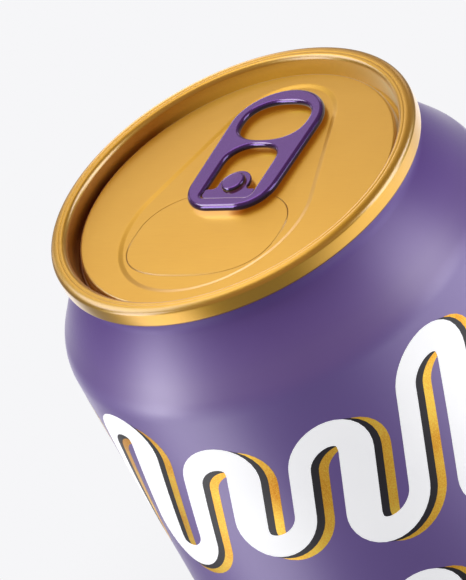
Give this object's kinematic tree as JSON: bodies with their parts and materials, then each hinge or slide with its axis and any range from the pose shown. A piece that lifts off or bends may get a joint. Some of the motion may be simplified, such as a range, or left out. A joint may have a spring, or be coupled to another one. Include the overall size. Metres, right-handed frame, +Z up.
{
  "type": "drinks can",
  "caption": "Drinks can with a necked body, a double-seamed end, and a tab on a rivet that lifts to push a scored oval tear panel down into the can.",
  "frame": {"origin": "centre of the ring the can stands on, in the plane of the table", "axes": "+Z up along the can's axis, -Y towards the mouth, +Y towards the tab's finger end"},
  "size_m": [0.0662, 0.0662, 0.1152],
  "materials": {
    "body_purple": "matte purple lacquer with a satin sheen",
    "end_gold": "gold lacquer, satin",
    "tab_purple": "purple coated, glossy",
    "gasket": "matte cured sealing compound"
  },
  "bodies": {
    "can": {"can_body": "body_purple", "can_end": "end_gold", "seam_compound": "gasket", "rivet": "tab_purple"},
    "tab_island": {"tab_island": "tab_purple"},
    "tab": {"tab": "tab_purple"},
    "tear_panel": {"tear_panel": "end_gold"}
  },
  "joints": [
    {"name": "tab_swivel", "type": "hinge", "parent": "can", "child": "tab_island", "pos_m": [0, 0, 0.11315], "axis": [0, 0, 1], "range_deg": [-4, 4]},
    {"name": "tab_lift", "type": "hinge", "parent": "tab_island", "child": "tab", "pos_m": [0, -0.003, 0.1131], "axis": [1, 0, 0], "range_deg": [0, 85]},
    {"name": "tear_panel_swing", "type": "hinge", "parent": "can", "child": "tear_panel", "pos_m": [0, -0.0016, 0.11268], "axis": [1, 0, 0], "range_deg": [0, 77]}
  ],
  "couplings": [
    {"joint": "tear_panel_swing", "follows": "tab_lift", "ratio": 0.9}
  ]
}
